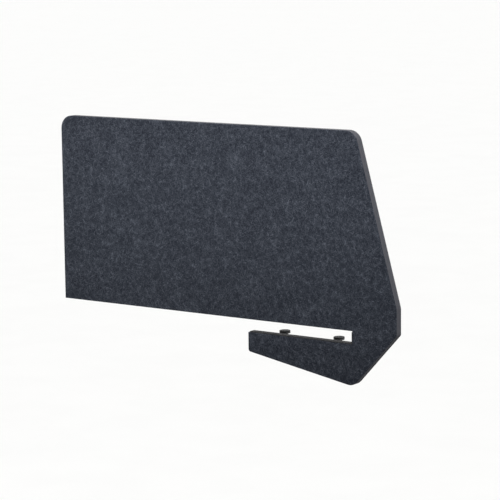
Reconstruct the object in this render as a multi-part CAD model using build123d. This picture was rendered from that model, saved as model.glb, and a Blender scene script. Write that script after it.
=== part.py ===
"""Desk privacy panel: a felt board that slides onto the end of a desk top.

The upper panel stands on the desk top and a tail hangs below it. Between them a
slot, open towards the back, takes the edge of the top, and two screw clamps
behind the tail press up against the underside.

Millimetres. X runs along the board, positive towards the front of the desk. Y runs
through the board, positive towards the person at the desk. Z is up. The origin is
where the top surface of the desk meets its front edge, half way through the board.
"""

from build123d import *
import os
from math import cos, radians, sin, sqrt, tan

os.makedirs("parts", exist_ok=True)

# The desk top that the slot takes
TOP_THICK = 25.0

# Board: two pressed felt sheets, bonded face to face
SHEET = 9.0
BOARD = 2 * SHEET

# Upper panel
PANEL_BACK = -783.0
PANEL_HEIGHT = 422.0
PANEL_FRONT = 111.8
SLANT = 15.375  # of the front edge, from upright
SLANT_FOOT = 57.0  # height at which the front edge becomes upright
TOP_RADIUS = 30.0
KNEE_RADIUS = 30.0

# Tail, below the top of the desk
CHIN_Z = -0.1  # where the upright front edge turns back under the desk
CHIN_RADIUS = 8.0
TIP = (4.0, -118.4)  # corner of the front and bottom edges, before rounding
TIP_RADIUS = 26.0
TAIL_BACK = -266.0
TAIL_RISE = 10.06  # slope of the bottom edge, in degrees
TAIL_RADIUS = 6.0

# Slot, and the rubber strip on its lower jaw and throat
LINER = 2.0
LINER_INSET = 0.5  # from each face of the board
LINER_SHORT = 2.5  # gap left above its upright leg
SLOT_SLACK = 1.0  # left under the desk top, so that the board slides on
JAW_Z = -(TOP_THICK + SLOT_SLACK + LINER)
LIP_RADIUS = 2.0

# Screw clamps behind the tail
CLAMPS = {"front": -60.0, "rear": -200.0}
SCREW_Y = 36.0
THREAD_R = 4.0  # M8
BRACKET_WIDE = 54.0
BRACKET_PLATE = 2.5
BRACKET_OUT = 45.0  # reach of the shelf from the board
SHELF_Z = -47.5  # top of the shelf
LEG_FOOT_Z = -75.0
BEND_OUTER = 4.0
CORNER_RADIUS = 6.0
SHELF_HOLE_R = 4.3

# Weld nut on the shelf
NUT_FLATS = 13.0
NUT_HIGH = 6.5
NUT_CHAMFER = 1.0
NUT_CLEARANCE = 0.05

# Swivel foot and its rubber pad
PAD_R = 12.0
PAD_THICK = 3.0
PLATE_THICK = 3.0
HUB_R = 7.0
HUB_HIGH = 4.0
BALL_R = 3.0
BALL_UP = 2.5  # centre of the ball above the foot of the hub
BALL_CLEARANCE = 0.05
SOCKET_MOUTH_R = 2.7
NECK_R = 2.2
NECK_LONG = 6.5  # from the centre of the ball to the thread

# Star knob
KNOB_R = 15.0
KNOB_HIGH = 14.0
KNOB_TOP_Z = -61.0
KNOB_LOBES = 6
SCALLOP_R = 4.5
SCALLOP_AT = 17.2
KNOB_EDGE = 1.5
KNOB_CHAMFER = 0.9
COLLAR_R = 8.0
COLLAR_HIGH = 3.0
KNOB_FLOOR = 3.0  # plastic left under the end of the screw
PRESS_GAP = 0.02

# Bracket fixings: M5 screws into tee nuts held between the two sheets
FIXING_X = 19.0
FIXING_Z = -62.0
FIXING_R = 2.5
FIXING_HOLE_R = 2.7
HEAD_R = 4.75
HEAD_HIGH = 3.0
HEAD_DOME = 1.8
DRIVE_FLATS = 3.0
DRIVE_DEEP = 1.8
TEE_FLANGE_R = 7.5
TEE_FLANGE = 1.2
TEE_BARREL_R = 3.4
TEE_LONG = 8.4
FIT = 0.05  # round metal parts in the felt and in each other

FIXINGS = [(x + side * FIXING_X, FIXING_Z) for x in CLAMPS.values() for side in (-1, 1)]

# Heights along each clamp, with its pad against the underside of the desk top
PAD_TOP_Z = -TOP_THICK
PLATE_TOP_Z = PAD_TOP_Z - PAD_THICK
PLATE_FOOT_Z = PLATE_TOP_Z - PLATE_THICK
HUB_FOOT_Z = PLATE_FOOT_Z - HUB_HIGH
BALL_Z = HUB_FOOT_Z + BALL_UP
SHOULDER_Z = BALL_Z - NECK_LONG
KNOB_FOOT_Z = KNOB_TOP_Z - KNOB_HIGH
SCREW_FOOT_Z = KNOB_FOOT_Z + KNOB_FLOOR


def outline(points, radii):
    """A closed outline in the plane of the board, with a radius for each corner."""
    with BuildSketch(Plane.XZ) as sketch:
        with BuildLine():
            FilletPolyline(*points, radius=radii, close=True)
        make_face()
    return sketch.sketch


def through_board(sketch, start, thick):
    """A sketch in the plane of the board, carried thick along +Y from y = start."""
    return Pos(0, start, 0) * extrude(sketch, amount=thick, dir=(0, 1, 0))


def rod(radius, low, high, x=0.0, y=0.0):
    """A round bar along Z."""
    return Pos(x, y, low) * extrude(Circle(radius), amount=high - low)


def cross_rod(radius, low, high, x, z):
    """A round bar along Y."""
    return through_board(Plane.XZ * Pos(x, z) * Circle(radius), low, high - low)


def hexagon(flats):
    """A hexagon, given its size across the flats."""
    return RegularPolygon(flats / 2, 6, major_radius=False)


def board_outline():
    """Upper panel, front edge, tail and slot as one line."""
    top_front = PANEL_FRONT - (PANEL_HEIGHT - SLANT_FOOT) * tan(radians(SLANT))
    tail_foot = TIP[1] + (TIP[0] - TAIL_BACK) * tan(radians(TAIL_RISE))
    corners = [
        ((PANEL_BACK, PANEL_HEIGHT), TOP_RADIUS),
        ((top_front, PANEL_HEIGHT), TOP_RADIUS),
        ((PANEL_FRONT, SLANT_FOOT), KNEE_RADIUS),
        ((PANEL_FRONT, CHIN_Z), CHIN_RADIUS),
        (TIP, TIP_RADIUS),
        ((TAIL_BACK, tail_foot), TAIL_RADIUS),
        ((TAIL_BACK, JAW_Z), LIP_RADIUS),
        ((LINER, JAW_Z), 0),
        ((LINER, 0), 0),
        ((PANEL_BACK, 0), 0),
    ]
    return outline([point for point, _ in corners], [radius for _, radius in corners])


def outer_felt_sheet():
    return through_board(board_outline(), -SHEET, SHEET)


def inner_felt_sheet():
    """The sheet on the user's side, with a seat for each tee nut."""
    sheet = through_board(board_outline(), 0, SHEET)
    for x, z in FIXINGS:
        sheet -= cross_rod(TEE_FLANGE_R + FIT, 0, TEE_FLANGE + FIT, x, z)
        sheet -= cross_rod(TEE_BARREL_R + FIT, 0, SHEET, x, z)
    return sheet


def slot_liner():
    """Rubber strip along the lower jaw and up the throat."""
    corners = [
        (TAIL_BACK + 2 * LIP_RADIUS, JAW_Z),
        (LINER, JAW_Z),
        (LINER, -LINER_SHORT),
        (0, -LINER_SHORT),
        (0, JAW_Z + LINER),
        (TAIL_BACK + 2 * LIP_RADIUS, JAW_Z + LINER),
    ]
    strip = outline(corners, [0] * len(corners))
    return through_board(strip, LINER_INSET - SHEET, BOARD - 2 * LINER_INSET)


def tee_nuts():
    """Four tee nuts, flange between the sheets and barrel through the inner one."""
    nuts = []
    for x, z in FIXINGS:
        nut = cross_rod(TEE_FLANGE_R, 0, TEE_FLANGE, x, z)
        nut += cross_rod(TEE_BARREL_R, 0, TEE_LONG, x, z)
        nuts.append(nut - cross_rod(FIXING_R + FIT, 0, TEE_LONG, x, z))
    return Compound(children=nuts)


def bracket_screws():
    """Four button-head screws with a hexagon drive, from the bracket into the tee nuts."""
    seat = SHEET + BRACKET_PLATE
    screws = []
    for x, z in FIXINGS:
        screw = cross_rod(FIXING_R, TEE_FLANGE, seat, x, z)
        head = cross_rod(HEAD_R, seat, seat + HEAD_HIGH, x, z)
        rim = head.edges().filter_by(GeomType.CIRCLE).sort_by(Axis.Y)[-1]
        screw += fillet(rim, HEAD_DOME)
        drive = Plane.XZ * Pos(x, z) * hexagon(DRIVE_FLATS)
        screw -= through_board(drive, seat + HEAD_HIGH - DRIVE_DEEP, DRIVE_DEEP)
        screws.append(screw)
    return Compound(children=screws)


def bracket(x):
    """Folded angle: a leg screwed to the board and a shelf that carries the weld nut."""
    corners = [
        (SHEET, LEG_FOOT_Z),
        (SHEET, SHELF_Z),
        (SHEET + BRACKET_OUT, SHELF_Z),
        (SHEET + BRACKET_OUT, SHELF_Z - BRACKET_PLATE),
        (SHEET + BRACKET_PLATE, SHELF_Z - BRACKET_PLATE),
        (SHEET + BRACKET_PLATE, LEG_FOOT_Z),
    ]
    radii = [0, BEND_OUTER, 0, 0, BEND_OUTER - BRACKET_PLATE, 0]
    with BuildSketch(Plane.YZ) as profile:
        with BuildLine():
            FilletPolyline(*corners, radius=radii, close=True)
        make_face()
    angle = extrude(profile.sketch, amount=BRACKET_WIDE / 2, both=True)
    leg_corners = angle.edges().filter_by(Axis.Y).group_by(Axis.Z)[0]
    angle = fillet(leg_corners, CORNER_RADIUS)
    shelf_corners = angle.edges().filter_by(Axis.Z).group_by(Axis.Y)[-1]
    angle = fillet(shelf_corners, CORNER_RADIUS)
    angle -= rod(SHELF_HOLE_R, LEG_FOOT_Z, 0, 0, SCREW_Y)
    for side in (-1, 1):
        angle -= cross_rod(FIXING_HOLE_R, 0, BRACKET_OUT, side * FIXING_X, FIXING_Z)
    return Pos(x, 0, 0) * angle


def weld_nuts():
    """One M8 hexagon nut on the shelf of each bracket, with its corners turned off."""
    nuts = []
    for x in CLAMPS.values():
        nut = Pos(0, 0, SHELF_Z) * extrude(hexagon(NUT_FLATS), amount=NUT_HIGH)
        corner_r = NUT_FLATS / sqrt(3)
        turned = Pos(0, 0, SHELF_Z) * extrude(Circle(corner_r), amount=NUT_HIGH)
        top_rim = turned.edges().filter_by(GeomType.CIRCLE).sort_by(Axis.Z)[-1]
        nut &= chamfer(top_rim, NUT_CHAMFER)
        nut -= rod(THREAD_R + NUT_CLEARANCE, LEG_FOOT_Z, 0)
        nuts.append(Pos(x, SCREW_Y, 0) * nut)
    return Compound(children=nuts)


def foot_pad(x):
    """Rubber disc that presses on the underside of the desk top."""
    return rod(PAD_R, PLATE_TOP_Z, PAD_TOP_Z, x, SCREW_Y)


def foot(x):
    """Moulded foot, with a socket that snaps over the ball of the screw."""
    body = rod(PAD_R, PLATE_FOOT_Z, PLATE_TOP_Z)
    body += rod(HUB_R, HUB_FOOT_Z, PLATE_FOOT_Z)
    body -= Pos(0, 0, BALL_Z) * Sphere(BALL_R + BALL_CLEARANCE)
    body -= rod(SOCKET_MOUTH_R, HUB_FOOT_Z, BALL_Z)
    return Pos(x, SCREW_Y, 0) * body


def spindle(x):
    """M8 clamp screw: ball end, neck and a thread that runs into the knob."""
    screw = rod(THREAD_R, SCREW_FOOT_Z, SHOULDER_Z)
    screw += rod(NECK_R, SHOULDER_Z, BALL_Z)
    screw += Pos(0, 0, BALL_Z) * Sphere(BALL_R)
    return Pos(x, SCREW_Y, 0) * screw


def knob(x):
    """Star knob with scalloped sides and a short collar round the screw."""
    grip = Circle(KNOB_R)
    for lobe in range(KNOB_LOBES):
        angle = radians(360 * (lobe + 0.5) / KNOB_LOBES)
        grip -= Pos(SCALLOP_AT * cos(angle), SCALLOP_AT * sin(angle)) * Circle(SCALLOP_R)
    grip = fillet(grip.vertices(), KNOB_EDGE)
    body = Pos(0, 0, KNOB_FOOT_Z) * extrude(grip, amount=KNOB_HIGH)
    ends = body.faces().filter_by(Axis.Z)
    body = chamfer([edge for face in ends for edge in face.edges()], KNOB_CHAMFER)
    body += rod(COLLAR_R, KNOB_TOP_Z, KNOB_TOP_Z + COLLAR_HIGH)
    body -= rod(THREAD_R + PRESS_GAP, SCREW_FOOT_Z, KNOB_TOP_Z + COLLAR_HIGH)
    return Pos(x, SCREW_Y, 0) * body


def nodes():
    """Every sub-part, by name."""
    made = {
        "outer_felt_sheet": outer_felt_sheet(),
        "inner_felt_sheet": inner_felt_sheet(),
        "slot_liner": slot_liner(),
        "tee_nuts": tee_nuts(),
        "bracket_screws": bracket_screws(),
        "weld_nuts": weld_nuts(),
    }
    for place, x in CLAMPS.items():
        made[f"{place}_clamp_bracket"] = bracket(x)
        made[f"{place}_clamp_spindle"] = spindle(x)
        made[f"{place}_clamp_knob"] = knob(x)
        made[f"{place}_clamp_foot"] = foot(x)
        made[f"{place}_foot_pad"] = foot_pad(x)
    return made


for name, shape in nodes().items():
    export_step(shape, f"parts/{name}.step")
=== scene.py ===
"""Desk privacy panel: a felt board that slides on to the end of a desk top, with its two clamps."""

import math

import bmesh
import bpy
import numpy as np
from mathutils import Matrix, Vector, noise
from mathutils.geometry import delaunay_2d_cdt


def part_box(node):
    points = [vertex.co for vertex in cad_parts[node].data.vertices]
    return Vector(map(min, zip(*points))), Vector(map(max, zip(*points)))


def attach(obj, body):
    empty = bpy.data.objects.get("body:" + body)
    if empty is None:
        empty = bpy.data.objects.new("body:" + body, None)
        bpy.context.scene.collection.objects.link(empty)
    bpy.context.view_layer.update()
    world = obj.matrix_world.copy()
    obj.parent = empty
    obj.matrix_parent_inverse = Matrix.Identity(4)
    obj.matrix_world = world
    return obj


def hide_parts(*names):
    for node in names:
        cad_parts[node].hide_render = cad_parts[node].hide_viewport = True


bl_info = {
    "name": "Felt Desk Panel",
    "version": (1, 0, 0),
    "blender": (4, 5, 0),
    "location": "View3D > Sidebar > Desk Panel",
    "description": "Builds a slide-on felt desk panel with its clamps, and a pale studio round it",
    "category": "Add Mesh",
}

MM = 0.001
PLACES = ("front", "rear")

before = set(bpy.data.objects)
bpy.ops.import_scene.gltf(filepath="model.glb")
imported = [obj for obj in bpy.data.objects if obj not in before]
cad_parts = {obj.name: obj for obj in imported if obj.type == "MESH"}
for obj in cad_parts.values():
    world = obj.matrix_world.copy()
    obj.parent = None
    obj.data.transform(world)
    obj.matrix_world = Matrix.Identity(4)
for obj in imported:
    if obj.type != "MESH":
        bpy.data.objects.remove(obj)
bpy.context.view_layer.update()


# ---------------------------------------------------------------- helpers


def linear(code):
    """An sRGB hex colour as linear red, green, blue and alpha."""
    parts = [int(code[i : i + 2], 16) / 255 for i in (0, 2, 4)]
    return [c / 12.92 if c <= 0.04045 else ((c + 0.055) / 1.055) ** 2.4 for c in parts] + [1.0]


def centre(node):
    """The middle of a CAD node's box."""
    low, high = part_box(node)
    return (low + high) / 2


def tidy_mesh(name, points, faces, smooth_angle=None):
    """A mesh object from points and faces, with its faces turned outwards."""
    mesh = bpy.data.meshes.new(name)
    mesh.from_pydata(points, [], faces)
    shell = bmesh.new()
    shell.from_mesh(mesh)
    bmesh.ops.recalc_face_normals(shell, faces=shell.faces)
    shell.to_mesh(mesh)
    shell.free()
    mesh.shade_smooth()
    if smooth_angle:
        mesh.set_sharp_from_angle(angle=smooth_angle)
    made = bpy.data.objects.new(name, mesh)
    bpy.context.scene.collection.objects.link(made)
    return made


def place(piece, body, slot_name, *nodes):
    """The piece rides on a body and stands for its CAD nodes, which it hides. slot_name is not used."""
    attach(piece, body)
    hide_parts(*nodes)


def softened(name, node, width, smooth_angle=0.6):
    """A copy of a CAD node with its edges rounded over."""
    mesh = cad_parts[node].data.copy()
    mesh.name = name
    mesh.materials.clear()
    shell = bmesh.new()
    shell.from_mesh(mesh)
    bmesh.ops.remove_doubles(shell, verts=shell.verts, dist=1e-6)
    flat, corner = math.radians(0.5), math.radians(35)
    parts = {"verts": shell.verts, "edges": shell.edges}
    bmesh.ops.dissolve_limit(shell, angle_limit=flat, use_dissolve_boundaries=False, **parts)
    sharp = [e for e in shell.edges if e.is_manifold and e.calc_face_angle() > corner]
    round_over = {"offset": width, "segments": 3, "profile": 0.5, "clamp_overlap": True}
    bmesh.ops.bevel(shell, geom=sharp, affect="EDGES", **round_over)
    bmesh.ops.recalc_face_normals(shell, faces=shell.faces)
    shell.to_mesh(mesh)
    shell.free()
    mesh.shade_smooth()
    mesh.set_sharp_from_angle(angle=smooth_angle)
    made = bpy.data.objects.new(name, mesh)
    bpy.context.scene.collection.objects.link(made)
    return made


def turned(name, profile, at, sides=64, smooth_angle=0.6):
    """A piece made of (radius, height) rings about an upright axis, closed at both ends.

    A radius is a number, or a function of the angle round the axis.
    """
    points, faces = [], []
    for radius, height in profile:
        for k in range(sides):
            turn = math.tau * k / sides
            r = radius(turn) if callable(radius) else radius
            points.append((at.x + r * math.cos(turn), at.y + r * math.sin(turn), height))
    for ring in range(len(profile) - 1):
        for k in range(sides):
            a, b = ring * sides + k, ring * sides + (k + 1) % sides
            faces.append((a, b, b + sides, a + sides))
    last = (len(profile) - 1) * sides
    faces.append(tuple(range(sides)))
    faces.append(tuple(range(last, last + sides)))
    return tidy_mesh(name, points, faces, smooth_angle)


def quarter_turn(steps):
    """Sine and one minus cosine, from 0 to a quarter turn: how far a rounded edge has come round."""
    turns = [math.pi / 2 * k / steps for k in range(steps + 1)]
    return [(math.sin(t), 1 - math.cos(t)) for t in turns]


def ball_profile(radius, middle_z, first_turn, last_turn, count):
    """Radius and height of points up a ball, by their angles from its lowest point."""
    turns = np.linspace(first_turn, last_turn, count)
    return [(radius * math.sin(t), middle_z - radius * math.cos(t)) for t in turns]


# ---------------------------------------------------------------- settings


def length(name, description, value_mm):
    """A length property, given in millimetres."""
    kind = {"subtype": "DISTANCE", "unit": "LENGTH", "precision": 5}
    return bpy.props.FloatProperty(name=name, description=description, default=value_mm * MM, **kind)


def angle(name, description, degrees):
    """An angle property, given in degrees."""
    kind = {"subtype": "ANGLE", "unit": "ROTATION"}
    return bpy.props.FloatProperty(name=name, description=description, default=math.radians(degrees), **kind)


def colour(name, description, code):
    """A colour property, given as an sRGB hex value."""
    kind = {"size": 4, "subtype": "COLOR", "min": 0, "max": 1}
    return bpy.props.FloatVectorProperty(name=name, description=description, default=linear(code), **kind)


class BoardSettings(bpy.types.PropertyGroup):
    """Shape and colours of the felt board"""

    slant: angle("Slant", "Lean of the upper front edge, from upright", 15.375)
    slant_foot: length("Slant Foot", "Height at which the front edge becomes upright", 57.0)
    chin: length("Chin", "Height at which the front edge turns back under the desk", -0.1)
    tip_x: length("Tip Place", "Lowest corner along the board, before rounding", 4.0)
    tip_z: length("Tip Height", "Lowest corner's height, before rounding", -118.4)
    tail_rise: angle("Tail Rise", "Slope of the tail's bottom edge", 10.06)
    top_radius: length("Top Radius", "Rounding of the two top corners", 30.0)
    knee_radius: length("Knee Radius", "Rounding where the slanted edge becomes upright", 30.0)
    chin_radius: length("Chin Radius", "Rounding where the front edge turns back", 8.0)
    tip_radius: length("Tip Radius", "Rounding of the lowest corner", 26.0)
    tail_radius: length("Tail Radius", "Rounding at the back of the tail", 6.0)
    lip_radius: length("Lip Radius", "Rounding at the mouth of the slot", 2.0)
    arris: length("Arris", "Rounding between the faces and the cut edge", 0.9)
    joint: length("Joint", "Rounding at the line where the two sheets meet", 0.25)
    outline_step: length("Outline Step", "Spacing of the mesh points along the outline", 2.2)
    nut_barrel: length("Nut Barrel Hole", "Radius of the hole round a tee nut's barrel", 3.45)
    nut_flange: length("Nut Flange Seat", "Radius of the seat of a tee nut's flange", 7.55)
    nut_seat: length("Nut Seat Depth", "Depth of the seat of a tee nut's flange", 1.25)
    grid: length("Grid", "Spacing of the mesh points on the faces", 2.8)
    swell: length("Swell", "Height of the soft swells in the pressed surface", 0.16)
    base: colour("Base Fibre", "Dark fibre that most of the felt is made of", "0E121A")
    pale: colour("Pale Fibre", "Light fibre blended into it", "454951")
    cut: colour("Cut Edge", "Ends of the fibres along the cut edge", "3B3B3F")


class ClampSettings(bpy.types.PropertyGroup):
    """Small features of the clamps"""

    strip_thick: length("Strip", "Thickness of the rubber strip in the slot", 2.0)
    strip_rib: length("Strip Ribs", "Height of the ribs on the strip", 0.5)
    edge: length("Edge", "Rounding of the folded steel's edges", 0.35)
    nut_edge: length("Nut Edge", "Rounding of the edges of nuts and small screws", 0.15)
    pitch: length("Pitch", "Advance of the thread in one turn", 1.25)
    thread_depth: length("Thread Depth", "Depth of the thread", 0.72)
    neck_radius: length("Neck Radius", "Thin part under the ball", 2.2)
    neck_length: length("Neck Length", "From the thread to the middle of the ball", 6.5)
    ball_radius: length("Ball Radius", "Ball at the top of the screw", 3.0)
    lobe_depth: length("Lobe Depth", "Depth of the hollows between the knob's lobes", 2.3)
    collar_radius: length("Collar Radius", "Collar of the knob", 8.0)
    collar_height: length("Collar Height", "Height of the collar", 3.0)
    knob_rim: length("Knob Rim", "Rounding of the knob's rims", 1.6)
    knob_floor: length("Knob Floor", "Plastic under the end of the screw", 3.0)
    foot_plate: length("Foot Plate", "Thickness of the foot under its pad", 3.0)
    foot_hub: length("Foot Hub", "Radius of the foot's hub", 7.0)
    pad_groove: length("Pad Groove", "Depth of the rings in the pad", 0.4)
    steel: colour("Powder Coat", "Black powder coat of the brackets", "1B1B1D")
    zinc: colour("Zinc", "Bright zinc plating", "B9BABC")
    nylon: colour("Nylon", "Moulded nylon of the knobs and feet", "17181A")
    rubber: colour("Rubber", "Strip in the slot and pads on the feet", "111112")


class StudioSettings(bpy.types.PropertyGroup):
    """Camera, lamps and floor"""

    aim: bpy.props.FloatVectorProperty(
        name="Aim",
        description="Point the camera looks at",
        default=(-0.2585, -0.009, 0.1522),
        subtype="TRANSLATION",
    )
    distance: length("Distance", "From the camera to the aim", 4661.2)
    azimuth: angle("Azimuth", "Direction of view round the panel, 0 along +Y", 35.554)
    elevation: angle("Elevation", "Height of the camera above the horizon", 8.566)
    roll: angle("Roll", "Turn of the camera about its line of sight", -0.675)
    lens: bpy.props.FloatProperty(name="Lens", description="Focal length in millimetres", default=155.69)
    floor_drop: length("Floor", "Depth of the floor, low enough for a view from under the panel", 2600.0)
    floor: colour("Floor Colour", "Pale studio floor", "FAFAF9")
    card: colour("Card Colour", "Black card that shades the tail", "191919")
    surroundings: bpy.props.FloatProperty(
        name="Surroundings", description="Strength of the all-round light", default=1.03
    )


# ---------------------------------------------------------------- materials

# The parts of a noise texture's range that most of its values fill
NARROW = (0.30, 0.70)
WIDE = (0.25, 0.75)


def add(tree, kind, inputs=(), **fields):
    """Adds a shader node, sets its fields, and sets or links its inputs, given by name or in order.

    A node given as an input stands for its first output.
    """
    made = tree.nodes.new("ShaderNode" + kind)
    for field, value in fields.items():
        setattr(made, field, value)
    for key, value in inputs.items() if isinstance(inputs, dict) else enumerate(inputs):
        if isinstance(value, bpy.types.Node):
            value = value.outputs[0]
        if isinstance(value, bpy.types.NodeSocket):
            tree.links.new(value, made.inputs[key])
        else:
            made.inputs[key].default_value = value
    return made


def new_material(name):
    """An empty node material, its node tree, and its object coordinates in millimetres."""
    made = bpy.data.materials.new(name)
    made.use_nodes = True
    tree = made.node_tree
    tree.nodes.clear()
    place_of = add(tree, "TexCoord").outputs["Object"]
    in_mm = add(tree, "VectorMath", (place_of, (1 / MM, 1 / MM, 1 / MM)), operation="MULTIPLY")
    return made, tree, in_mm


def strands(tree, in_mm, turn, long_mm, wide_mm):
    """Short strands lying one way in the plane of the board, from 0 between them to 1 on them."""
    stretch = {"Vector": in_mm, "Rotation": (0, turn, 0), "Scale": (long_mm, wide_mm, wide_mm)}
    aligned = add(tree, "Mapping", stretch, vector_type="TEXTURE")
    ridges = add(tree, "TexNoise", {"Vector": aligned, "Scale": 1.0, "Detail": 1.0, "Distortion": 1.3})
    start, full = 0.61, 0.80  # noise values where a strand begins and where it is full
    return add(tree, "MapRange", (ridges, start, full))


def felt_face_material(colours):
    """Pressed polyester felt, needled and then hot pressed.

    Dark and pale fibres are blended before needling, so the face is heathered: fine grain, short
    strands in every direction, and soft clouds where one colour gathers. It has no gloss, only the
    faint sheen of fibre ends. Fibres are 0.03 mm across, too fine to show, so the strands are drawn
    coarser than real, 0.7 to 1.5 mm wide and 7 to 12 mm long.
    """
    made, tree, in_mm = new_material("pressed_polyester_felt")
    tone = 0.275  # share of pale fibre, before the power below deepens it
    for size_mm, detail, roughness, strength in (
        (2.2, 3.0, 0.6, 0.46),  # grain
        (11.0, 3.0, 0.6, 0.34),  # tufts
        (45.0, 3.0, 0.5, 0.12),  # clouds
    ):
        look = {"Vector": in_mm, "Scale": 1 / size_mm, "Detail": detail, "Roughness": roughness}
        patches = add(tree, "TexNoise", look)
        lift = add(tree, "MapRange", (patches, *WIDE, -strength, strength))
        tone = add(tree, "Math", (lift, tone), operation="ADD")
    contrast = 2.3
    tone = add(tree, "Math", (add(tree, "MapRange", (tone, 0.0, 1.0)), contrast), operation="POWER")
    directions = 4
    for long_mm, wide_mm, first_turn, share in ((12.0, 1.5, 17, 0.70), (7.0, 0.7, 35, 0.47)):
        for k in range(directions):
            turn = math.radians(first_turn + 180 / directions * k)
            light = strands(tree, in_mm, turn, long_mm, wide_mm)
            scaled = add(tree, "Math", (light, share), operation="MULTIPLY")
            tone = add(tree, "Math", (tone, scaled), operation="ADD")
    tone = add(tree, "MapRange", (tone, 0.0, 1.0))
    blend = add(tree, "Mix", {0: tone, 6: colours.base, 7: colours.pale}, data_type="RGBA")
    bump = add(tree, "Bump", {"Strength": 0.5, "Distance": 0.35 * MM, "Height": tone})
    values = {"Base Color": blend.outputs[2], "Normal": bump, "Roughness": 0.95, "IOR": 1.57}
    values |= {"Specular IOR Level": 0.08, "Sheen Weight": 0.015, "Sheen Roughness": 0.6}
    add(tree, "OutputMaterial", {"Surface": add(tree, "BsdfPrincipled", values)})
    return made


def felt_edge_material(colours):
    """The same felt where it was cut.

    The knife leaves the fibres end on, so the edge is paler and greyer than the face, with fine
    layers that run along it, from the webs that were laid one on another.
    """
    made, tree, in_mm = new_material("cut_polyester_felt")
    layer_mm, run_mm, fuzz_mm = 0.7, 6.0, 1.2
    layered = add(tree, "Mapping", {"Vector": in_mm, "Scale": (1 / run_mm, 1 / layer_mm, 1 / run_mm)})
    layers = add(tree, "TexNoise", {"Vector": layered, "Scale": 1.0, "Detail": 3.0})
    fuzz = add(tree, "TexNoise", {"Vector": in_mm, "Scale": 1 / fuzz_mm, "Detail": 3.0})
    banded = add(tree, "MapRange", (layers, *WIDE, 0.1, 0.9))
    frayed = add(tree, "MapRange", (fuzz, *WIDE, -0.3, 0.3))
    tone = add(tree, "Math", (banded, frayed), operation="ADD")
    palest_share = 0.35
    tone = add(tree, "MapRange", (tone, 0.0, 1.0, palest_share, 1.0))
    blend = add(tree, "Mix", {0: tone, 6: colours.base, 7: colours.cut}, data_type="RGBA")
    bump = add(tree, "Bump", {"Strength": 0.6, "Distance": 0.4 * MM, "Height": tone})
    values = {"Base Color": blend.outputs[2], "Normal": bump, "Roughness": 0.98, "IOR": 1.57}
    values |= {"Specular IOR Level": 0.08, "Sheen Weight": 0.02, "Sheen Roughness": 0.7}
    add(tree, "OutputMaterial", {"Surface": add(tree, "BsdfPrincipled", values)})
    return made


def powder_coat_material(colours):
    """Powder-coated steel, baked: satin black with the fine pebble that the melted powder leaves."""
    made, tree, in_mm = new_material("powder_coated_steel")
    pebble_mm = 0.8
    pebble = add(tree, "TexNoise", {"Vector": in_mm, "Scale": 1 / pebble_mm, "Detail": 2.0})
    shade = add(tree, "MapRange", (pebble, *NARROW, 0.75, 1.3))
    tint = add(tree, "VectorMath", {"Vector": colours.steel[:3], "Scale": shade}, operation="SCALE")
    bump = add(tree, "Bump", {"Strength": 0.5, "Distance": 0.06 * MM, "Height": pebble})
    rough = add(tree, "MapRange", (pebble, *NARROW, 0.42, 0.56))
    values = {"Base Color": tint, "Roughness": rough, "Normal": bump, "IOR": 1.5}
    add(tree, "OutputMaterial", {"Surface": add(tree, "BsdfPrincipled", values)})
    return made


def zinc_material(colours):
    """Bright zinc-plated steel: pale metal, slightly clouded by the passivation, with faint drawn lines."""
    made, tree, in_mm = new_material("zinc_plated_steel")
    cloud_mm, line_mm, run_mm = 5.0, 0.4, 6.0
    cloudy = add(tree, "TexNoise", {"Vector": in_mm, "Scale": 1 / cloud_mm, "Detail": 3.0})
    drawn = add(tree, "Mapping", {"Vector": in_mm, "Scale": (1 / line_mm, 1 / line_mm, 1 / run_mm)})
    lines = add(tree, "TexNoise", {"Vector": drawn, "Scale": 1.0, "Detail": 1.0})
    shade = add(tree, "MapRange", (cloudy, *NARROW, 0.82, 1.08))
    tint = add(tree, "VectorMath", {"Vector": colours.zinc[:3], "Scale": shade}, operation="SCALE")
    rough = add(tree, "MapRange", (cloudy, *NARROW, 0.24, 0.38))
    bump = add(tree, "Bump", {"Strength": 0.25, "Distance": 0.03 * MM, "Height": lines})
    values = {"Base Color": tint, "Metallic": 1.0, "Roughness": rough, "Normal": bump}
    add(tree, "OutputMaterial", {"Surface": add(tree, "BsdfPrincipled", values)})
    return made


def nylon_material(colours):
    """Moulded nylon with glass filling: black, satin, with the grain of the spark-eroded mould."""
    made, tree, in_mm = new_material("moulded_nylon")
    grain_mm, flow_mm = 0.5, 9.0
    grain = add(tree, "TexNoise", {"Vector": in_mm, "Scale": 1 / grain_mm, "Detail": 2.0})
    flow = add(tree, "TexNoise", {"Vector": in_mm, "Scale": 1 / flow_mm, "Detail": 1.0})
    shade = add(tree, "MapRange", (flow, *NARROW, 0.85, 1.15))
    tint = add(tree, "VectorMath", {"Vector": colours.nylon[:3], "Scale": shade}, operation="SCALE")
    rough = add(tree, "MapRange", (flow, *NARROW, 0.44, 0.56))
    bump = add(tree, "Bump", {"Strength": 0.35, "Distance": 0.04 * MM, "Height": grain})
    values = {"Base Color": tint, "Roughness": rough, "Normal": bump, "IOR": 1.53}
    add(tree, "OutputMaterial", {"Surface": add(tree, "BsdfPrincipled", values)})
    return made


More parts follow.
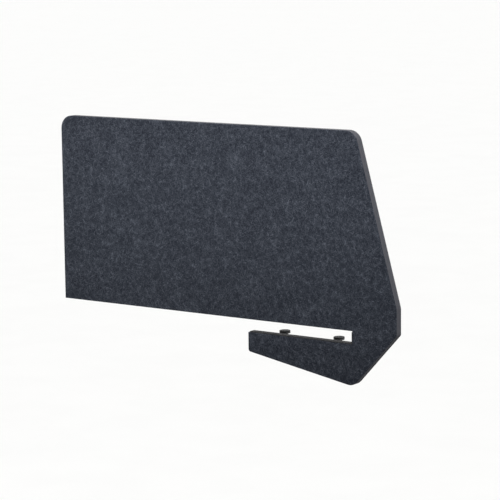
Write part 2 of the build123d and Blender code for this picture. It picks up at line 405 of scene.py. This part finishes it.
def rubber_material(colours):
    """Extruded black rubber: dull, with a faint bloom in patches and a fine drag along the surface."""
    made, tree, in_mm = new_material("extruded_rubber")
    bloom_mm, drag_mm = 6.0, 0.6
    bloom = add(tree, "TexNoise", {"Vector": in_mm, "Scale": 1 / bloom_mm, "Detail": 3.0})
    drag = add(tree, "TexNoise", {"Vector": in_mm, "Scale": 1 / drag_mm, "Detail": 1.0})
    shade = add(tree, "MapRange", (bloom, *NARROW, 0.8, 1.5))
    tint = add(tree, "VectorMath", {"Vector": colours.rubber[:3], "Scale": shade}, operation="SCALE")
    rough = add(tree, "MapRange", (bloom, *NARROW, 0.72, 0.88))
    bump = add(tree, "Bump", {"Strength": 0.3, "Distance": 0.05 * MM, "Height": drag})
    values = {"Base Color": tint, "Roughness": rough, "Normal": bump, "IOR": 1.52}
    values["Specular IOR Level"] = 0.25
    add(tree, "OutputMaterial", {"Surface": add(tree, "BsdfPrincipled", values)})
    return made


def studio_floor_material(colours):
    """Matt painted studio floor: pale, with the faint unevenness of a rolled coat."""
    made, tree, in_mm = new_material("matt_studio_paint")
    roller_mm = 400
    rolled = add(tree, "TexNoise", {"Vector": in_mm, "Scale": 1 / roller_mm, "Detail": 2.0})
    shade = add(tree, "MapRange", (rolled, *NARROW, 0.985, 1.0))
    tint = add(tree, "VectorMath", {"Vector": colours.floor[:3], "Scale": shade}, operation="SCALE")
    values = {"Base Color": tint, "Roughness": 0.8}
    add(tree, "OutputMaterial", {"Surface": add(tree, "BsdfPrincipled", values)})
    return made


def black_card_material(colours):
    """Uncoated black card: dull all over, with the soft mottle of its paper fibres."""
    made, tree, in_mm = new_material("uncoated_black_card")
    mottle_mm = 3.0
    mottle = add(tree, "TexNoise", {"Vector": in_mm, "Scale": 1 / mottle_mm, "Detail": 2.0})
    shade = add(tree, "MapRange", (mottle, *NARROW, 0.9, 1.1))
    tint = add(tree, "VectorMath", {"Vector": colours.card[:3], "Scale": shade}, operation="SCALE")
    values = {"Base Color": tint, "Roughness": 0.95}
    add(tree, "OutputMaterial", {"Surface": add(tree, "BsdfPrincipled", values)})
    return made


def material(name, maker, colours):
    """The named material, made once."""
    return bpy.data.materials.get(name) or maker(colours)


# ---------------------------------------------------------------- felt board


def board_corners(settings):
    """The board's corners as (place, radius), in the plane of the board, from the CAD boxes."""
    low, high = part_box("outer_felt_sheet")
    strip_low, strip_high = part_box("slot_liner")
    lip = settings.lip_radius
    tail_back = strip_low.x - 2 * lip
    top_front = high.x - (high.z - settings.slant_foot) * math.tan(settings.slant)
    tail_foot = settings.tip_z + (settings.tip_x - tail_back) * math.tan(settings.tail_rise)
    return [
        (complex(low.x, high.z), settings.top_radius),
        (complex(low.x, 0), 0),
        (complex(strip_high.x, 0), 0),
        (complex(strip_high.x, strip_low.z), 0),
        (complex(tail_back, strip_low.z), lip),
        (complex(tail_back, tail_foot), settings.tail_radius),
        (complex(settings.tip_x, settings.tip_z), settings.tip_radius),
        (complex(high.x, settings.chin), settings.chin_radius),
        (complex(high.x, settings.slant_foot), settings.knee_radius),
        (complex(top_front, high.z), settings.top_radius),
    ]


def rounded(corners, step):
    """A closed outline through the corners, each rounded to its radius, with points about step apart."""
    least, finer = 4, 0.6  # parts in an arc, and how much closer than step its points stand
    bends = []
    for k, (corner, radius) in enumerate(corners):
        to_before = corners[k - 1][0] - corner
        to_after = corners[(k + 1) % len(corners)][0] - corner
        to_before, to_after = to_before / abs(to_before), to_after / abs(to_after)
        if not radius:
            bends.append([corner])
            continue
        opening = math.acos((to_before * to_after.conjugate()).real)
        middle = to_before + to_after
        hub = corner + middle / abs(middle) * radius / math.sin(opening / 2)
        first = corner + to_before * radius / math.tan(opening / 2) - hub
        last = corner + to_after * radius / math.tan(opening / 2) - hub
        ratio = last / first
        turn = math.atan2(ratio.imag, ratio.real)
        count = max(least, math.ceil(abs(turn) * radius / (finer * step)))
        turns = [turn * t / count for t in range(count + 1)]
        bends.append([hub + first * complex(math.cos(t), math.sin(t)) for t in turns])
    outline = []
    for k, bend in enumerate(bends):
        outline.extend(bend)
        run = bends[(k + 1) % len(bends)][0] - bend[-1]
        count = max(1, round(abs(run) / step))
        outline.extend(bend[-1] + run * t / count for t in range(1, count))
    return np.array(outline)


def outward(outline):
    """For each point of the outline, the direction out of the board, lengthened at corners as a mitre is."""
    ahead = np.roll(outline, -1) - outline
    ahead /= np.abs(ahead)
    behind = np.roll(ahead, 1)
    spin = np.sign(np.sum((outline.conj() * np.roll(outline, -1)).imag))
    normal = (ahead + behind) * -1j * spin
    normal /= np.abs(normal)
    cosine = (normal * (ahead * -1j * spin).conj()).real
    longest_mitre = 1 / 0.3
    return normal, 1 / np.clip(cosine, 1 / longest_mitre, 1)


def inside_by(points, outline, gap):
    """Which points lie inside the outline and at least gap from it."""
    ends = np.roll(outline, -1)
    keep = np.zeros(len(points), bool)
    batch = 4000  # points tested at a time, to spare memory
    for start in range(0, len(points), batch):
        part = points[start : start + batch, None]
        run = ends - outline
        along = np.clip(((part - outline) * run.conj()).real / np.abs(run) ** 2, 0, 1)
        near = np.abs(part - outline - along * run).min(1)
        crosses = (outline.imag > part.imag) != (ends.imag > part.imag)
        rise = np.where(run.imag == 0, 1, run.imag)
        where = outline.real + (part.imag - outline.imag) / rise * run.real
        odd = (crosses & (part.real < where)).sum(1) % 2 == 1
        keep[start : start + batch] = odd & (near > gap)
    return keep


def lattice(outline, spacing, holes):
    """Triangular lattice points inside the outline, clear of it and of the round holes."""
    xs = np.arange(outline.real.min(), outline.real.max(), spacing)
    zs = np.arange(outline.imag.min(), outline.imag.max(), spacing * math.sqrt(3) / 2)
    rim_gap, hole_gap = 0.55 * spacing, 0.5 * spacing
    grid = np.array([complex(x + (row % 2) * spacing / 2, z) for row, z in enumerate(zs) for x in xs])
    grid = grid[inside_by(grid, outline, rim_gap)]
    for middle, radius in holes:
        grid = grid[np.abs(grid - middle) > radius + hole_gap]
    return grid


def circle(middle, radius, count=28):
    return middle + radius * np.exp(1j * math.tau * np.arange(count) / count)


FACE, EDGE = 0, 1  # material numbers on a felt sheet


class Sheet:
    """Points, faces and a material number for each face, gathered for one felt sheet."""

    def __init__(self):
        self.points, self.faces, self.finishes = [], [], []

    def ring(self, outline, depth):
        """Adds a closed row of points at a depth through the board and returns their numbers."""
        first = len(self.points)
        self.points.extend((p.real, depth, p.imag) for p in outline)
        return list(range(first, len(self.points)))

    def wall(self, one, other, finish):
        """Joins two rows of points with faces."""
        for k in range(len(one)):
            after = (k + 1) % len(one)
            self.faces.append((one[k], one[after], other[after], other[k]))
            self.finishes.append(finish)

    def cap(self, loops, extra, depth, finish):
        """Fills the first loop, apart from the others, which are holes in it, with triangles."""
        numbers = [n for loop in loops for n in loop] + self.ring(extra, depth)
        flat = [Vector((self.points[n][0], self.points[n][2])) for n in numbers]
        edges, start = [], 0
        for loop in loops:
            edges += [(start + k, start + (k + 1) % len(loop)) for k in range(len(loop))]
            start += len(loop)
        inside, inside_with_holes, nearest = 1, 5, 1e-7
        kind = inside if len(loops) == 1 else inside_with_holes
        found = delaunay_2d_cdt(flat, edges, [], kind, nearest)
        source = [numbers[kept[0]] for kept in found[3]]
        for face in found[2]:
            self.faces.append(tuple(source[v] for v in face))
            self.finishes.append(finish)


def swells(point, settings):
    """Height of the pressed surface at a point: soft swells, and finer unevenness from the needling."""
    place_mm = Vector(point) / MM
    waves = ((38, 0.45, (0, 0, 0)), (13, 0.5, (7, 3, 1)), (6, 0.3, (1, 9, 4)))
    heights = [share * noise.noise(place_mm / wide_mm + Vector(shift)) for wide_mm, share, shift in waves]
    return settings.swell * sum(heights)


def felt_sheet(name, face_y, settings, nut_places):
    """One sheet of the board, from its outer face at face_y to the joint at y = 0."""
    inwards = -math.copysign(1, face_y)
    outline = rounded(board_corners(settings), settings.outline_step)
    normal, mitre = outward(outline)
    arris, joint = settings.arris, settings.joint
    side = abs(face_y) - arris - joint
    sheet = Sheet()

    # How far each row of points stands inside the outline, and how deep it is below the face
    steps = 8
    profile = [(arris * (1 - sine), arris * fall) for sine, fall in quarter_turn(4)]
    profile += [(0, arris + side * k / steps) for k in range(1, steps + 1)]
    groove = 0.3  # share of the joint's rounding at its first row
    profile += [(joint * groove, abs(face_y) - joint * groove), (joint, abs(face_y))]
    rows = [sheet.ring(outline - normal * mitre * inset, face_y + inwards * deep) for inset, deep in profile]
    face_rows = 2  # rows of the arris that keep the finish of the face
    for k, (one, other) in enumerate(zip(rows, rows[1:])):
        sheet.wall(one, other, FACE if k < face_rows else EDGE)

    barrels, pockets = [], []
    barrel, pocket, seat = settings.nut_barrel, settings.nut_flange, settings.nut_seat
    for middle in nut_places:
        barrels.append(sheet.ring(circle(middle, barrel), face_y))
        pockets.append(sheet.ring(circle(middle, pocket), 0))
        step_in = sheet.ring(circle(middle, barrel), -inwards * seat)
        step_out = sheet.ring(circle(middle, pocket), -inwards * seat)
        sheet.wall(barrels[-1], step_in, EDGE)
        sheet.wall(step_in, step_out, EDGE)
        sheet.wall(step_out, pockets[-1], EDGE)
    holes = [(middle, barrel) for middle in nut_places]
    face_outline = outline - normal * mitre * arris
    sheet.cap([rows[0], *barrels], lattice(face_outline, settings.grid, holes), face_y, FACE)
    sheet.cap([rows[-1], *pockets], np.array([]), 0, EDGE)

    made = tidy_mesh(name, sheet.points, sheet.faces)
    made.data.polygons.foreach_set("material_index", sheet.finishes)
    lift_surface(made, settings, abs(face_y))
    return made


def lift_surface(made, settings, thick):
    """Moves each outer point along its normal by the swells, and leaves the joint alone."""
    mesh = made.data
    normals = [v.normal.copy() for v in mesh.vertices]
    joint_share = 0.06
    for vertex, way in zip(mesh.vertices, normals):
        if abs(vertex.co.y) > thick * joint_share:
            vertex.co += way * swells(vertex.co, settings)
    mesh.update()


class PANEL_OT_felt_board(bpy.types.Operator):
    """Make the two bonded felt sheets"""

    bl_idname = "desk_panel.felt_board"
    bl_label = "Felt Board"

    def execute(self, context):
        settings = context.scene.felt_board
        face = material("pressed_polyester_felt", felt_face_material, settings)
        edge = material("cut_polyester_felt", felt_edge_material, settings)
        nut_places = [complex(x, z) for x, z in fixing_places()]
        for name, node, nuts in (
            ("felt_sheet_outer", "outer_felt_sheet", []),
            ("felt_sheet_inner", "inner_felt_sheet", nut_places),
        ):
            low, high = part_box(node)
            face_y = low.y if abs(low.y) > abs(high.y) else high.y
            made = felt_sheet(name, face_y, settings, nuts)
            made.data.materials.append(face)
            made.data.materials.append(edge)
            place(made, "panel", "felt", node)
        return {"FINISHED"}


# ---------------------------------------------------------------- slot strip


def fixing_places():
    """Where the four bracket screws go, from the box of each bracket and of the tee nuts."""
    low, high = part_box("tee_nuts")
    radius = (high.z - low.z) / 2
    outer = low.x + radius
    half = centre("rear_clamp_bracket").x - outer
    middles = [centre(f"{p}_clamp_bracket").x for p in PLACES]
    return [(x + side * half, centre("tee_nuts").z) for x in middles for side in (-1, 1)]


class PANEL_OT_slot_strip(bpy.types.Operator):
    """Make the ribbed rubber strip in the slot"""

    bl_idname = "desk_panel.slot_strip"
    bl_label = "Slot Strip"

    def execute(self, context):
        clamps = context.scene.panel_clamps
        low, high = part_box("slot_liner")
        crest, root = clamps.strip_thick, clamps.strip_thick - clamps.strip_rib
        ribs = 7
        width = high.y - low.y
        across = []
        for k in range(ribs):
            start = low.y + width * k / ribs
            for share, height in ((0.12, root), (0.3, crest), (0.7, crest), (0.88, root)):
                across.append((start + width / ribs * share, height))
        section = [(low.y, 0.0), (low.y, root), *across, (high.y, root), (high.y, 0.0)]
        stations = [
            (Vector((low.x, 0, low.z)), Vector((0, 0, 1))),
            (Vector((high.x, 0, low.z)), Vector((-1, 0, 1))),
            (Vector((high.x, 0, high.z)), Vector((-1, 0, 0))),
        ]
        points, faces = [], []
        for foot, way in stations:
            points += [(foot + way * h + Vector((0, y, 0)))[:] for y, h in section]
        n = len(section)
        for s in range(len(stations) - 1):
            for k in range(n):
                a, b = s * n + k, s * n + (k + 1) % n
                faces.append((a, b, b + n, a + n))
        last = len(points) - n
        faces.append(tuple(range(n)))
        faces.append(tuple(range(last, last + n)))
        strip = tidy_mesh("slot_strip", points, faces, 0.5)
        strip.data.materials.append(material("extruded_rubber", rubber_material, clamps))
        place(strip, "panel", "rubber", "slot_liner")
        return {"FINISHED"}


# ---------------------------------------------------------------- clamps


class PANEL_OT_brackets(bpy.types.Operator):
    """Make the folded brackets with their weld nuts, tee nuts and screws"""

    bl_idname = "desk_panel.brackets"
    bl_label = "Brackets"

    def execute(self, context):
        clamps = context.scene.panel_clamps
        coat = material("powder_coated_steel", powder_coat_material, clamps)
        zinc = material("zinc_plated_steel", zinc_material, clamps)
        for p in PLACES:
            made = softened(f"{p}_bracket", f"{p}_clamp_bracket", clamps.edge)
            made.data.materials.append(coat)
            place(made, "panel", "black_steel", f"{p}_clamp_bracket")
        for name, node in (("weld_nut_pair", "weld_nuts"), ("bracket_screw_set", "bracket_screws")):
            made = softened(name, node, clamps.nut_edge)
            made.data.materials.append(zinc)
            place(made, "panel", "zinc_steel", node)
        tee_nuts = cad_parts["tee_nuts"]
        tee_nuts.data.materials.clear()
        tee_nuts.data.materials.append(zinc)
        return {"FINISHED"}


def threaded_screw(name, node, clamps):
    """The clamp screw: a real thread, a run-out, the neck and the ball."""
    low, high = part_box(node)
    major = (high.x - low.x) / 2
    root = major - clamps.thread_depth
    neck, ball, pitch = clamps.neck_radius, clamps.ball_radius, clamps.pitch
    ball_z = high.z - ball
    shoulder = ball_z - clamps.neck_length
    per_turn = 8
    flank = 2.6  # steepness of the groove, which leaves a flat on the crest
    heights = [low.z + pitch / per_turn * k for k in range(int((shoulder - low.z) / pitch * per_turn))]

    def threaded(height):
        """The radius round the screw at one height. The thread fades over a turn at each end."""
        full = min(1, (height - low.z) / pitch, (heights[-1] - height) / pitch)

        def radius(turn):
            phase = ((height - low.z) / pitch - turn / math.tau) % 1
            cut = clamps.thread_depth * min(1, abs(phase - 0.5) * flank)
            return major - cut * full - (1 - full) * clamps.thread_depth

        return radius

    taper, top_hole = 0.6 * MM, 0.12
    profile = [(threaded(height), height) for height in heights]
    profile += [(root, shoulder), (neck, shoulder + taper)]
    profile += ball_profile(ball, ball_z, math.asin(neck / ball), math.pi - top_hole, 14)
    return turned(name, profile, centre(node), sides=32, smooth_angle=0.9)


class PANEL_OT_screws(bpy.types.Operator):
    """Make the threaded clamp screws"""

    bl_idname = "desk_panel.screws"
    bl_label = "Clamp Screws"

    def execute(self, context):
        clamps = context.scene.panel_clamps
        for p in PLACES:
            made = threaded_screw(f"{p}_screw_thread", f"{p}_clamp_spindle", clamps)
            made.data.materials.append(material("zinc_plated_steel", zinc_material, clamps))
            place(made, f"{p}_screw", "zinc_steel", f"{p}_clamp_spindle")
        return {"FINISHED"}


def star_knob(name, node, clamps):
    """A moulded star knob: six rounded lobes, soft rims, a collar, and a bore for the screw."""
    low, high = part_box(node)
    full = (high.x - low.x) / 2
    lobes, fullness = 6, 1.6
    rim, ease = clamps.knob_rim, 0.5 * MM
    bore = 4.02 * MM  # a press fit on the M8 screw
    collar = clamps.collar_radius
    collar_z = high.z - clamps.collar_height
    dish, dish_foot = 6 * MM, 8 * MM

    def lobed(inset):
        """The radius round the knob, set in from its widest."""

        def radius(turn):
            hollow = 0.5 - 0.5 * math.cos(lobes * turn)
            return full - clamps.lobe_depth * hollow**fullness - inset

        return radius

    rounding = quarter_turn(5)
    profile = [(dish, low.z + ease), (dish_foot, low.z)]
    profile += [(lobed(rim * (1 - sine)), low.z + rim * fall) for sine, fall in rounding]
    profile += [(lobed(rim * fall), collar_z - rim * (1 - sine)) for sine, fall in rounding]
    profile += [(collar + ease, collar_z), (collar, collar_z + ease)]
    profile += [(collar, high.z - ease), (collar - ease, high.z)]
    profile += [(bore + ease, high.z), (bore, high.z - ease), (bore, low.z + clamps.knob_floor)]
    return turned(name, profile, centre(node), sides=144, smooth_angle=0.7)


class PANEL_OT_knobs(bpy.types.Operator):
    """Make the star knobs"""

    bl_idname = "desk_panel.knobs"
    bl_label = "Knobs"

    def execute(self, context):
        clamps = context.scene.panel_clamps
        for p in PLACES:
            made = star_knob(f"{p}_star_knob", f"{p}_clamp_knob", clamps)
            made.data.materials.append(material("moulded_nylon", nylon_material, clamps))
            place(made, f"{p}_screw", "black_nylon", f"{p}_clamp_knob")
        return {"FINISHED"}


def swivel_foot(name, node, clamps):
    """The foot: a plate with rounded rims, a waist, and a hub with the socket for the ball."""
    low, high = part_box(node)
    wide = (high.x - low.x) / 2
    hub, ease = clamps.foot_hub, 0.5 * MM
    plate_z = high.z - clamps.foot_plate
    ball = clamps.ball_radius + 0.05 * MM
    ball_z = low.z + 2.5 * MM
    mouth, lip = 2.7 * MM, 0.3 * MM
    fillet, blend = 1.2 * MM, 0.2 * MM
    pinhole, top_hole = 0.4 * MM, 0.15
    profile = [(pinhole, high.z), (wide - ease, high.z), (wide, high.z - ease), (wide, plate_z + ease)]
    profile += [(wide - ease, plate_z), (hub + fillet, plate_z - blend), (hub, plate_z - fillet)]
    profile += [(hub - blend, low.z + ease), (hub - blend - ease, low.z)]
    profile += [(mouth + lip, low.z), (mouth, low.z + lip)]
    profile += ball_profile(ball, ball_z, math.asin(mouth / ball), math.pi - top_hole, 12)
    return turned(name, profile, centre(node))


def ringed_pad(name, node, clamps):
    """The rubber pad, with rings moulded into the face that grips."""
    low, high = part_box(node)
    wide = (high.x - low.x) / 2
    pinhole, lower_ease, upper_ease = 0.4 * MM, 0.3 * MM, 0.5 * MM
    rim, smallest, spacing = 1.6 * MM, 2.5 * MM, 2.1 * MM
    ring = ((0.0, 0), (0.35 * MM, clamps.pad_groove), (0.85 * MM, clamps.pad_groove), (1.2 * MM, 0))
    profile = [(pinhole, low.z), (wide - lower_ease, low.z), (wide, low.z + lower_ease)]
    profile += [(wide, high.z - upper_ease), (wide - upper_ease, high.z)]
    radius = wide - rim
    while radius > smallest:
        profile += [(radius - step, high.z - drop) for step, drop in ring]
        radius -= spacing
    profile.append((pinhole, high.z))
    return turned(name, profile, centre(node))


class PANEL_OT_feet(bpy.types.Operator):
    """Make the swivel feet and their rubber pads"""

    bl_idname = "desk_panel.feet"
    bl_label = "Feet and Pads"

    def execute(self, context):
        clamps = context.scene.panel_clamps
        for p in PLACES:
            foot = swivel_foot(f"{p}_swivel_foot", f"{p}_clamp_foot", clamps)
            foot.data.materials.append(material("moulded_nylon", nylon_material, clamps))
            place(foot, f"{p}_foot", "black_nylon", f"{p}_clamp_foot")
            pad = ringed_pad(f"{p}_rubber_pad", f"{p}_foot_pad", clamps)
            pad.data.materials.append(material("extruded_rubber", rubber_material, clamps))
            place(pad, f"{p}_foot", "rubber", f"{p}_foot_pad")
        return {"FINISHED"}


# ---------------------------------------------------------------- studio

# Each lamp by name: its place and what it faces, both from the aim, its width and height, power and spread
LAMPS = {
    "key_softbox": ((-0.1, -1.1, 1.1), (-0.09, 0, 0.16), (1.3, 0.3), 3.4, 34),
    "back_softbox": ((-0.9, 1.8, 1.3), (0, 0, 0), (1.4, 1.4), 30, 140),
    "side_softbox": ((1.5, 0.15, 1.6), (0.3, 0, 0), (0.8, 0.8), 27, 120),
}
CARD_PLACE = (0.28, -0.36, -0.42)
CARD_SIZE = (0.66, 0.6)
FLOOR_SIZE = (800.0, 800.0)
SENSOR = 36.0  # width of the camera's sensor, in millimetres
CLIP = (0.1, 2000.0)


def softbox(name, at, target, size, power, spread_degrees):
    """An area lamp that faces a point, with a grid that narrows its beam; size is its width and height."""
    lamp = bpy.data.lights.new(name, "AREA")
    lamp.shape = "RECTANGLE"
    lamp.energy = power
    lamp.size, lamp.size_y = size
    lamp.spread = math.radians(spread_degrees)
    made = bpy.data.objects.new(name, lamp)
    made.location = at
    made.visible_camera = False
    made.rotation_mode = "QUATERNION"
    made.rotation_quaternion = (target - at).to_track_quat("-Z", "Y")
    bpy.context.scene.collection.objects.link(made)


def flat_sheet(name, at, size):
    """A level rectangle about a point; size is its width along X and its depth along Y."""
    signs = ((-1, -1), (1, -1), (1, 1), (-1, 1))
    corners = [at + Vector((x * size[0], y * size[1], 0)) / 2 for x, y in signs]
    return tidy_mesh(name, corners, [(0, 1, 2, 3)])


def studio_camera(scene, studio):
    """The camera, which looks at the aim from the set distance, azimuth and elevation."""
    turn = Matrix.Rotation(studio.azimuth, 3, "Z") @ Matrix.Rotation(math.pi / 2 - studio.elevation, 3, "X")
    turn = turn @ Matrix.Rotation(studio.roll, 3, "Z")
    at = Vector(studio.aim) + turn @ Vector((0, 0, 1)) * studio.distance
    lens = bpy.data.cameras.new("studio_camera")
    lens.sensor_width = SENSOR
    lens.lens = studio.lens
    lens.clip_start, lens.clip_end = CLIP
    camera = bpy.data.objects.new("studio_camera", lens)
    camera.matrix_world = Matrix.Translation(at) @ turn.to_4x4()
    scene.collection.objects.link(camera)
    scene.camera = camera


class PANEL_OT_studio(bpy.types.Operator):
    """Make the floor, the card that shades the tail as a desk would, the lamps and the camera"""

    bl_idname = "desk_panel.studio"
    bl_label = "Studio"

    def execute(self, context):
        scene, studio = context.scene, context.scene.panel_studio
        aim = Vector(studio.aim)
        floor = flat_sheet("studio_floor", Vector((0, 0, -studio.floor_drop)), FLOOR_SIZE)
        floor.data.materials.append(material("matt_studio_paint", studio_floor_material, studio))
        card = flat_sheet("shading_card", aim + Vector(CARD_PLACE), CARD_SIZE)
        card.data.materials.append(material("uncoated_black_card", black_card_material, studio))
        card.visible_camera = False

        for name, (at, target, size, power, spread) in LAMPS.items():
            softbox(name, aim + Vector(at), aim + Vector(target), size, power, spread)

        world = bpy.data.worlds.new("pale_surroundings")
        scene.world = world
        world.use_nodes = True
        background = world.node_tree.nodes["Background"]
        background.inputs["Color"].default_value = (1, 1, 1, 1)
        background.inputs["Strength"].default_value = studio.surroundings
        scene.view_settings.view_transform = "Standard"
        studio_camera(scene, studio)
        return {"FINISHED"}


# ---------------------------------------------------------------- add-on

OPERATORS = (
    PANEL_OT_felt_board,
    PANEL_OT_slot_strip,
    PANEL_OT_brackets,
    PANEL_OT_screws,
    PANEL_OT_knobs,
    PANEL_OT_feet,
    PANEL_OT_studio,
)
GROUPS = {"felt_board": BoardSettings, "panel_clamps": ClampSettings, "panel_studio": StudioSettings}


class PANEL_PT_desk_panel(bpy.types.Panel):
    """Sidebar panel that lists the pieces"""

    bl_idname = "PANEL_PT_desk_panel"
    bl_label = "Desk Panel"
    bl_space_type = "VIEW_3D"
    bl_region_type = "UI"
    bl_category = "Desk Panel"

    def draw(self, context):
        for operator in OPERATORS:
            self.layout.operator(operator.bl_idname)
        for name, group in GROUPS.items():
            box = self.layout.box()
            for key in group.__annotations__:
                box.prop(getattr(context.scene, name), key)


def register():
    for group in GROUPS.values():
        bpy.utils.register_class(group)
    for cls in (*OPERATORS, PANEL_PT_desk_panel):
        bpy.utils.register_class(cls)
    for name, group in GROUPS.items():
        setattr(bpy.types.Scene, name, bpy.props.PointerProperty(type=group))


def unregister():
    for name in GROUPS:
        delattr(bpy.types.Scene, name)
    for cls in (PANEL_PT_desk_panel, *reversed(OPERATORS)):
        bpy.utils.unregister_class(cls)
    for group in GROUPS.values():
        bpy.utils.unregister_class(group)


def main():
    register()
    for operator in OPERATORS:
        group, name = operator.bl_idname.split(".")
        getattr(getattr(bpy.ops, group), name)()


if __name__ == "__main__":
    main()
